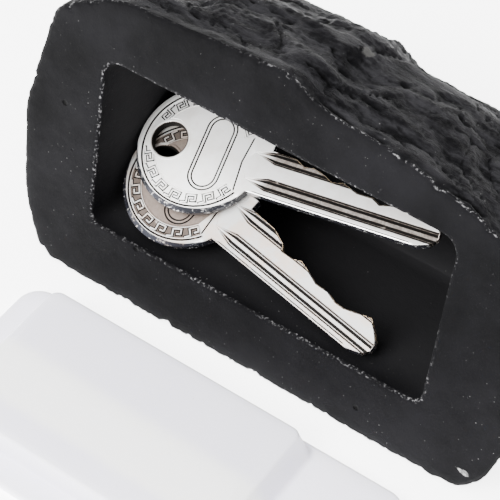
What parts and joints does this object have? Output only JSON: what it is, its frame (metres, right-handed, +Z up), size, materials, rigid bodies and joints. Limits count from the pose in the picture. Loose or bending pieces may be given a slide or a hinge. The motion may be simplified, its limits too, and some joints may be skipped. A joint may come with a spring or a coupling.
{
  "type": "hide a key rock",
  "caption": "Cast black stone with a key compartment in its flat base, a white plug cover lying in front, and two cylinder keys inside.",
  "frame": {"origin": "on the flat side that the stone stands on, straight below the middle of the compartment's opening", "axes": "+Z up from the standing side, +X along the stone, -Y towards the side that the base with the opening faces"},
  "size_m": [0.1047, 0.1009, 0.0629],
  "materials": {
    "cast_stone": "matte",
    "white_cover": "satin",
    "nickel_plate": "polished"
  },
  "bodies": {
    "rock": {"rock_body": "cast_stone"},
    "lid": {"lid": "white_cover"},
    "lower_key": {"lower_key": "nickel_plate"},
    "upper_key": {"upper_key": "nickel_plate"}
  },
  "joints": [
    {"name": "lid_swing", "type": "hinge", "parent": "rock", "child": "lid", "pos_m": [0, -0.0044, 0.00361], "axis": [-1, 0, 0], "range_deg": [0, 102]},
    {"name": "lower_key_push", "type": "slide", "parent": "rock", "child": "lower_key", "axis": [0, 0.9781, -0.2079], "range_m": [0, 0.0055]},
    {"name": "upper_key_slide", "type": "slide", "parent": "lower_key", "child": "upper_key", "axis": [1, 0, 0], "range_m": [0, 0.01]}
  ],
  "couplings": [
    {"joint": "lower_key_push", "follows": "lid_swing", "m_per_rad": 0.00305}
  ]
}
